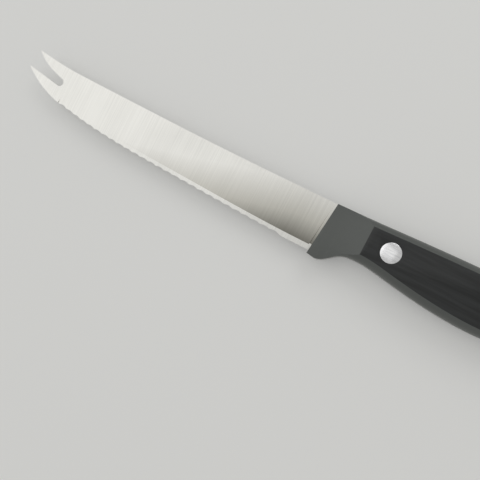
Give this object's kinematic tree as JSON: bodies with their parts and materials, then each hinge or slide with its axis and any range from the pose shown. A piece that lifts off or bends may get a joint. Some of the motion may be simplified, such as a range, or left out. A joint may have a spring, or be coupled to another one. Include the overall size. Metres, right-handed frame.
{
  "type": "tomato knife",
  "caption": "Forked, serrated tomato knife with a full tang between two riveted black scales.",
  "frame": {"origin": "middle of the underside of the whole knife's box, as it lies on its right side", "axes": "+X from the prong tips to the butt, +Y from the cutting edge to the spine, +Z out of the left side of the blade"},
  "size_m": [0.255, 0.0252, 0.012],
  "materials": {
    "blade_steel": "satin, ground across the blade",
    "handle_black": "satin moulded",
    "rivet_steel": "ground flush"
  },
  "bodies": {
    "root": {"blade": "blade_steel", "left_scale": "handle_black", "right_scale": "handle_black", "front_rivet_sleeve": "rivet_steel", "front_rivet_stud": "rivet_steel", "middle_rivet_sleeve": "rivet_steel", "middle_rivet_stud": "rivet_steel", "rear_rivet_sleeve": "rivet_steel", "rear_rivet_stud": "rivet_steel"}
  },
  "joints": []
}
